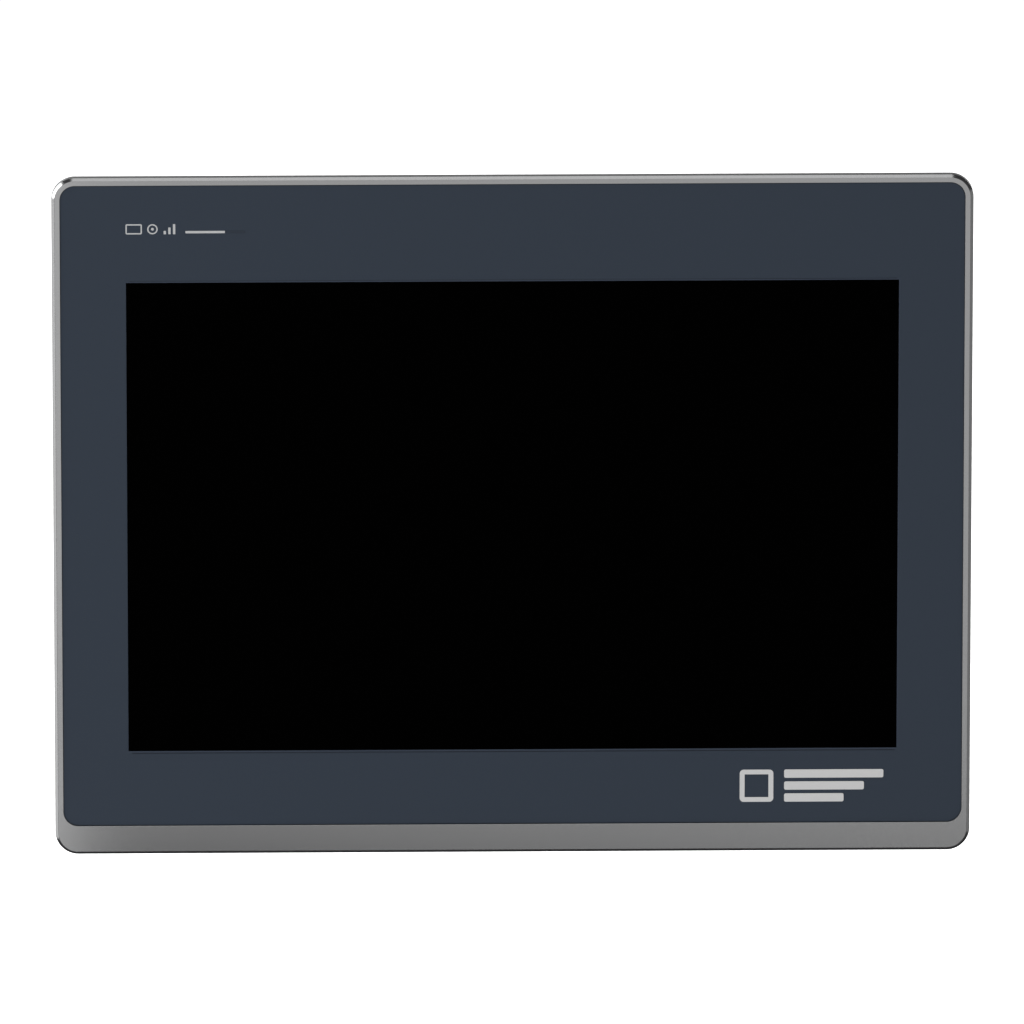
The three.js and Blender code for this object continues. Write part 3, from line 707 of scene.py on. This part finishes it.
def make_status_marks():
    """The light bar, and the unlit indicator to its right with a fine dark line painted round its edge
    as shade.
    """
    low, high = 101.2 * MM, 102.03 * MM
    bar_left, bar_right = -111.75 * MM, -98.25 * MM
    lens_left, lens_right, lens_radius = -98.0 * MM, -91.5 * MM, 0.1 * MM
    on_film("light_bar", [bar(bar_left, bar_right, low, high, 0.12 * MM)])
    lens = bar(lens_left, lens_right, low, high, lens_radius)
    on_film("status_lens", [lens], LENS_TINT, MARK_THICKNESS / 2)
    lens_size = (lens_right - lens_left, high - low, lens_radius)
    # painted shade: a fine dark ring standing in for the shadow round the lens's edge
    edge = ring_on_film((lens_left + lens_right) / 2, (low + high) / 2, lens_size, 0.16 * MM)
    make_marks("status_lens_edge_shade", [edge], SHADE_LINE)


def make_front_signs():
    """Three plain signs left of the light bar: a screen, a ring with a dot, and rising columns."""
    middle, height, line = 102.7 * MM, 3.6 * MM, 0.45 * MM
    screen_x, ring_x, columns_left = -129.4 * MM, -123.0 * MM, -119.2 * MM
    column_pitch, column_width = 1.6 * MM, 0.8 * MM
    signs = [
        ring_on_film(screen_x, middle, (5.6 * MM, height, 0.5 * MM), line),
        ring_on_film(ring_x, middle, (height, height, height / 2), line),
        printed(circle(0.5 * MM, ring_x, middle), FILM_FRONT, -MARK_THICKNESS),
    ]
    base = middle - height / 2
    for step in range(3):
        left = columns_left + step * column_pitch
        top = base + height * (step + 1) / 3
        column = bar(left, left + column_width, base, top, 0.1 * MM)
        signs.append(printed(column, FILM_FRONT, -MARK_THICKNESS))
    make_marks("front_signs", signs, PRINT_GREY)


def make_corner_emblem():
    """A plain emblem at the lower right: a square outline beside three shortening bars."""
    middle, square_x, side = -97.2 * MM, 84.0 * MM, 11.6 * MM
    left, thickness, pitch = 93.5 * MM, 3.0 * MM, 4.3 * MM
    marks = [ring_on_film(square_x, middle, (side, side, 1.4 * MM), 1.7 * MM)]
    for row, right in enumerate((127.7, 121.0, 114.0)):
        bottom = middle + (1 - row) * pitch - thickness / 2
        points = bar(left, right * MM, bottom, bottom + thickness, 0.6 * MM)
        marks.append(printed(points, FILM_FRONT, -MARK_THICKNESS))
    make_marks("corner_emblem", marks, PRINT_LIGHT)


def make_window_lines():
    """Fine lines on the film: light ones round three sides of the window, and dark ones above and
    below it that are painted shade along its edges.
    """
    half, high, height = WINDOW[0] / 2, WINDOW[1] / 2, MARK_THICKNESS / 2
    left, right = 1.2 * MM - half, half - 0.6 * MM  # the ends of the dark lines
    light = [
        bar(-half, half, -high - 0.55 * MM, -high - 0.05 * MM),
        bar(-half, half, high + 0.05 * MM, high + 0.4 * MM),
        bar(half + 0.03 * MM, half + 0.35 * MM, -high, high),
    ]
    # painted shade: dark lines standing in for the shadow along the window's upper and lower edges
    dark = [
        bar(left, right, -high - 0.95 * MM, -high - 0.6 * MM),
        bar(left, right, high + 0.5 * MM, high + 0.66 * MM),
    ]
    on_film("window_lines_light", light, LINE_LIGHT, height)
    on_film("window_shade_lines", dark, SHADE_LINE, height)


# ---------------------------------------------------------------- gasket


def make_gasket():
    """A moulded ring whose section has two sealing lips, as (inset, y) from side to side."""
    base, lip, side, valley = GASKET_LOW.y, GASKET_HIGH.y, -0.5 * MM, -0.6 * MM
    half = [(0.0, base), (0.0, side), (0.35 * MM, lip), (0.75 * MM, lip), (1.2 * MM, valley)]
    section = half + [(GASKET_WIDTH - inset, y) for inset, y in reversed(half)]
    rings = [inset_frame(inset, y, GASKET_SIZE, GASKET_RADIUS) for inset, y in section]
    mesh = loft("seal_ring", list(reversed(rings)), closed=True)
    piece = make_piece(
        "seal_ring", mesh, RUBBER, "panel_unit", ["panel_gasket"]
    )
    bevel(piece, 0.12 * MM)


# ---------------------------------------------------------------- connectors


def small_piece(name, solids, material, body="panel_unit", radius=0.06):
    """A small piece with a radius, in millimetres, on its edges."""
    piece = make_piece(name, bundle(name, solids), material, body)
    bevel(piece, radius * MM, 1)


def in_row(count, pitch, middle):
    """The places of things in an even row about a middle."""
    return [middle + (place - (count - 1) / 2) * pitch for place in range(count)]


def make_network_details(node, number):
    """Eight springs, their comb and two small indicator windows in the mouth of a jack."""
    low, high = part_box(node)
    x, mouth, floor = middle_of(node).x, low.z, high.y - 11.2 * MM
    spring_width, spring_pitch, thickness = 0.4 * MM, 1.02 * MM, 0.3 * MM
    path = [(floor + 0.3 * MM, mouth + 1 * MM), (floor + 3.2 * MM, mouth + 10 * MM),
            (floor + 3.2 * MM, mouth + 13.9 * MM)]
    front = [(y - thickness / 2, z) for y, z in path]
    back = [(y + thickness / 2, z) for y, z in reversed(path)]
    springs = []
    for centre in in_row(8, spring_pitch, x):
        left, right = centre - spring_width / 2, centre + spring_width / 2
        springs.append(prism(front + back, "x", left, right))
    small_piece(f"network_springs_{number}", springs, GOLD)
    comb_half = 4.8 * MM
    comb = rectangle(x - comb_half, x + comb_half, floor + 0.05 * MM, floor + 5 * MM)
    comb = prism(comb, "z", mouth + 12.4 * MM, mouth + 13.95 * MM)
    small_piece(f"network_comb_{number}", [comb], BLACK_PLASTIC)
    light_width, light_spacing = 3 * MM, 10.8 * MM
    lights = zip(in_row(2, light_spacing, x), ("green", "amber"), (GREEN_LENS, AMBER_LENS))
    for centre, color, lens in lights:
        left, right = centre - light_width / 2, centre + light_width / 2
        face = rectangle(left, right, high.y - 2.1 * MM, high.y - 0.6 * MM)
        window = prism(face, "z", mouth - 0.06 * MM, mouth + 0.4 * MM)
        small_piece(f"network_light_{color}_{number}", [window], lens)


def make_usb_tongue(node, name, size, offset, depth, strips):
    """
    The tongue of a port and its contact strips.

    size is the tongue's width and thickness, offset its y above the shell's low side, depth how
    far it reaches in, and strips are (x, width) in millimetres.
    """
    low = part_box(node)[0]
    x, mouth, y = middle_of(node).x, low.z, low.y + offset
    blade = rectangle(x - size[0] / 2, x + size[0] / 2, y, y + size[1])
    tongue = prism(blade, "z", mouth + 0.8 * MM, mouth + depth)
    small_piece(f"{name}_tongue", [tongue], BLACK_PLASTIC, radius=0.12)
    contacts = []
    proud, sunk = 0.08 * MM, 0.05 * MM
    for place, width in strips:
        left, right = x + (place - width / 2) * MM, x + (place + width / 2) * MM
        face = rectangle(left, right, y - proud, y + sunk)
        contacts.append(prism(face, "z", mouth + 1.3 * MM, mouth + depth - 0.2 * MM))
    small_piece(f"{name}_contacts", contacts, GOLD, radius=0.02)


def make_serial_details():
    """The insulator in the D-shaped shell and its nine pins, in rows of five and four."""
    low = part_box("serial_port")[0]
    x, y, face = middle_of("serial_port").x, low.y + 7.35 * MM, low.z + 5.5 * MM
    wide, narrow, half = 7.7 * MM, 6.8 * MM, 3.5 * MM
    base = [(x - wide, y - half), (x + wide, y - half), (x + narrow, y + half), (x - narrow, y + half)]
    insulator = prism(base, "z", face - 1.8 * MM, face + 0.1 * MM)
    small_piece("serial_insulator", [insulator], BLACK_PLASTIC, radius=0.2)
    row_offset, pin_pitch = 1.42 * MM, 2.77 * MM
    profile = ((0.5, -1.7), (0.5, -4.4), (0.42, -4.7), (0.22, -4.9))  # radius, z from the face
    pins = []
    for count, row in ((5, y - row_offset), (4, y + row_offset)):
        for pin in in_row(count, pin_pitch, x):
            rings = []
            for radius, z in profile:
                rings.append([(u, v, face + z * MM) for u, v in circle(radius * MM, pin, row, 14)])
            pins.append(solid(rings))
    make_marks("serial_pins", pins, GOLD)


def make_wire_clamps():
    """A metal cage in each wire entry of the power plug."""
    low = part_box("power_plug")[0]
    y, half_x, half_y, wall = low.y + 3.5 * MM, 1.7 * MM, 1.8 * MM, 0.35 * MM
    mouth, end = low.z + 0.7 * MM, low.z + 5.5 * MM
    cages = []
    for number in (1, 2, 3):
        x = middle_of(f"terminal_screw_{number}").x
        rings = []
        for inset, z in ((0, mouth), (0, end), (wall, end), (wall, mouth)):
            across, along = half_x - inset, half_y - inset
            sides = rectangle(x - across, x + across, y - along, y + along)
            rings.append([(u, v, z) for u, v in sides])
        cages.append(solid(rings, closed=True))
    small_piece("wire_cages", cages, NICKEL, "power_plug", 0.08)


# ---------------------------------------------------------------- rear of the unit


def make_neck():
    """The middle frame, whose rear edge meets the cover in a fine groove that light can't pass."""
    mesh = copy_of("middle_frame", "middle_frame_finish")
    right_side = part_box("middle_frame")[1].x
    near, gap = 0.01 * MM, 0.02 * MM
    edge = max(v.co.y for v in mesh.vertices if v.co.x > right_side - near)
    for vertex in mesh.vertices:
        if abs(vertex.co.y - edge) < near:
            vertex.co.y = COVER_FRONT - gap
    stand_in("middle_frame", mesh)


SIGN_Z = -79.5 * MM  # the row of signs over the connectors
SIGN_LINE = 0.35 * MM
OVERLAP = MARK_THICKNESS * 0.9  # a mark that crosses another is a little thinner than it


def on_cover(name, solids):
    """Printed marks on the cover's rear face."""
    make_marks(name, solids, PRINT_GREY)


def ring_on_cover(x, outer):
    """A printed line in the row of signs, inside the outline of a rounded rectangle."""
    return ring_mark(x, SIGN_Z, outer, SIGN_LINE, COVER_BACK)


def dash_on_cover(x, z, half_x, half_z, height=MARK_THICKNESS):
    """A printed rectangle on the cover, from its middle and half its sides."""
    return printed(rectangle(x - half_x, x + half_x, z - half_z, z + half_z), COVER_BACK, height)


def plus_mark(x, half, half_line):
    """The two bars of a plus sign in the row of signs."""
    return [
        dash_on_cover(x, SIGN_Z, half, half_line),
        dash_on_cover(x, SIGN_Z, half_line, half, OVERLAP),
    ]


def earth_mark(x, half_line):
    """The general sign for an earth connection, a stem over three shortening bars."""
    stem, pitch = 1.8 * MM, 0.8 * MM
    marks = [dash_on_cover(x, SIGN_Z + stem / 2, half_line, stem / 2, OVERLAP)]
    for step, half in enumerate((1.7, 1.1, 0.5)):
        marks.append(dash_on_cover(x, SIGN_Z - step * pitch, half * MM, half_line))
    return marks


def make_port_signs():
    """Plain signs over each connector: polarity, earth, the shape of a mouth, and counting dots."""
    half, half_line = 1.5 * MM, 0.2 * MM
    plus, minus, earth = sorted(middle_of(f"terminal_screw_{n}").x for n in (1, 2, 3))
    polarity = plus_mark(plus, half, half_line) + [dash_on_cover(minus, SIGN_Z, half, half_line)]
    on_cover("sign_power", polarity + earth_mark(earth, half_line))
    on_cover("sign_ground", earth_mark(middle_of("ground_screw").x, half_line))
    for node, width in (("usb_device_port", 5.0 * MM), ("usb_host_port", 8.0 * MM)):
        x = middle_of(node).x
        shell = ring_on_cover(x, (width, 2.6 * MM, 0.4 * MM))
        tongue = dash_on_cover(x, SIGN_Z, 0.3 * width, 0.25 * MM)
        on_cover(f"sign_{node}", [shell, tongue])
    for number in (1, 2):
        x = middle_of(f"ethernet_port_{number}").x
        marks = [ring_on_cover(x, (7.0 * MM, 3.4 * MM, 0.4 * MM))]
        for dot in in_row(number, 2.4 * MM, x):
            marks.append(printed(circle(0.6 * MM, dot, SIGN_Z), COVER_BACK))
        on_cover(f"sign_network_{number}", marks)
    x = middle_of("serial_port").x
    marks = [ring_on_cover(x, (12.0 * MM, 3.8 * MM, 0.9 * MM))]
    for count, row in ((5, SIGN_Z - 0.75 * MM), (4, SIGN_Z + 0.75 * MM)):
        for pin in in_row(count, 1.7 * MM, x):
            marks.append(printed(circle(0.32 * MM, pin, row, 10), COVER_BACK))
    on_cover("sign_serial", marks)


def make_label_table():
    """A blank table printed on the rating plate: a heading band over ruled rows in two columns."""
    low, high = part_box("rating_plate")
    margin, line, level = 2.5 * MM, 0.3 * MM, high.y + LIFT
    heading, row_height, first_column = 7 * MM, 6.4 * MM, 34 * MM
    left, right = low.x + margin, high.x - margin
    bottom, top = low.z + margin, high.z - margin
    size = (right - left, top - bottom, 0.6 * MM)
    marks = [
        ring_mark((left + right) / 2, (bottom + top) / 2, size, line, level),
        printed(rectangle(left + line, right - line, top - heading, top - line), level),
    ]
    for row in range(1, 5):
        z = top - heading - row * row_height
        marks.append(printed(rectangle(left + line, right - line, z, z + line), level))
    column = left + first_column
    rule = rectangle(column, column + line, bottom + line, top - heading)
    marks.append(printed(rule, level, OVERLAP))
    make_marks("label_table", marks, LABEL_PRINT)


def make_door_ridges():
    """Fine ridges under the door's grip, for the thumb that pulls it open."""
    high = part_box("service_door")[1]
    x, face = middle_of("service_door").x, high.y - 0.7 * MM
    half_width, half_height = 6 * MM, 0.3 * MM
    first, pitch, height, sunk = 7.0 * MM, 1.6 * MM, 0.3 * MM, 0.05 * MM
    ridges = []
    for step in range(3):
        z = high.z - first - step * pitch
        ridge = bar(x - half_width, x + half_width, z - half_height, z + half_height, 0.28 * MM)
        ridges.append(prism(ridge, "y", face - sunk, face + height))
    small_piece("door_ridges", ridges, HOUSING, "service_door", 0.12)


# ---------------------------------------------------------------- fasteners

HEAD_HEIGHT = 3.1 * MM
THREAD_PITCH, THREAD_ROOT, THREAD_CREST = 0.7 * MM, 1.57 * MM, 1.98 * MM  # the last two are radii
TIP_RADIUS = 1.4 * MM
LEVELS_PER_TURN, SIDES_AROUND = 8, 20


def make_screw_head(node, under_head):
    """The CAD screw's head with softened edges, cut off at its underside."""
    mesh = copy_of(node, f"{node}_head")
    work = bmesh.new()
    work.from_mesh(mesh)
    everything = work.verts[:] + work.edges[:] + work.faces[:]
    bmesh.ops.bisect_plane(
        work, geom=everything, plane_co=(0, under_head, 0), plane_no=(0, 1, 0), clear_inner=True
    )
    rim = [e for e in work.edges if e.is_boundary]
    bmesh.ops.contextual_create(work, geom=rim)
    work.to_mesh(mesh)
    work.free()
    stand_in(node, mesh, 0.2 * MM)


def thread_radius(turn, from_tip):
    """The shank's radius at a fraction of a turn along the thread's helix, tapered at the tip."""
    flank = 1.7 * abs(2 * turn - 1) - 0.35  # cut off at 0 and 1 into a flat root and crest
    height = min(1, max(0, flank))
    return min(THREAD_ROOT + height * (THREAD_CREST - THREAD_ROOT), TIP_RADIUS + from_tip)


def make_clamp_screw(number):
    """A machine screw: the head over a shank with a real helical thread."""
    node = f"clamp_screw_{number}"
    low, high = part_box(node)
    under_head = high.y - HEAD_HEIGHT
    make_screw_head(node, under_head)
    x, z = middle_of(node).x, middle_of(node).z
    step = THREAD_PITCH / LEVELS_PER_TURN
    rings = []
    for level in range(int((under_head - low.y) / step) + 1):
        along = level * step
        ring = []
        for side in range(SIDES_AROUND):
            turn = (level / LEVELS_PER_TURN + side / SIDES_AROUND) % 1
            radius = thread_radius(turn, along)
            angle = 2 * math.pi * side / SIDES_AROUND
            ring.append((x + radius * math.cos(angle), low.y + along, z + radius * math.sin(angle)))
        rings.append(ring)
    into_head = 0.02 * MM
    rings.append([(px, under_head + into_head, pz) for px, _, pz in rings[-1]])
    name = f"{node}_thread"
    thread = make_piece(name, loft(name, rings), ZINC, body_of(node))
    shade(thread.data, 60)  # degrees, so that the thread's flanks stay smooth


# ---------------------------------------------------------------- build

MADE_APART = {"front_bezel", "front_overlay", "panel_gasket", "middle_frame", "rear_cover",
              "status_light_guide"}
MADE_APART |= {f"clamp_screw_{number}" for number in range(1, 5)}

bpy.context.scene.view_settings.view_transform = "Standard"
dress_frame()
make_camera()
make_world()
make_floor()
make_lights()
make_front_frame()
make_film()
make_screen()
make_status_marks()
make_front_signs()
make_corner_emblem()
make_window_lines()
make_gasket()
make_neck()
soften("rear_cover", 0.5 * MM, span=(-math.inf, COVER_BACK))
soften("status_light_guide", span=(FILM_FRONT + 0.1 * MM, math.inf))  # just behind the film's face
make_port_signs()
make_label_table()
make_door_ridges()
for number in (1, 2):
    make_network_details(f"ethernet_port_{number}", number)
make_usb_tongue(
    "usb_host_port", "usb_host", (11.2 * MM, 1.7 * MM), 4.1 * MM, 12.4 * MM,
    ((-3.5, 1.1), (-1.0, 1.1), (1.0, 1.1), (3.5, 1.1)),
)
make_usb_tongue(
    "usb_device_port", "usb_device", (4.6 * MM, 0.8 * MM), 1.7 * MM, 6.9 * MM,
    ((-1.6, 0.4), (-0.8, 0.4), (0.0, 0.4), (0.8, 0.4), (1.6, 0.4)),
)
make_serial_details()
make_wire_clamps()
for number in range(1, 5):
    make_clamp_screw(number)
for node in frame["nodes"]:
    if node not in MADE_APART:
        soften(node)
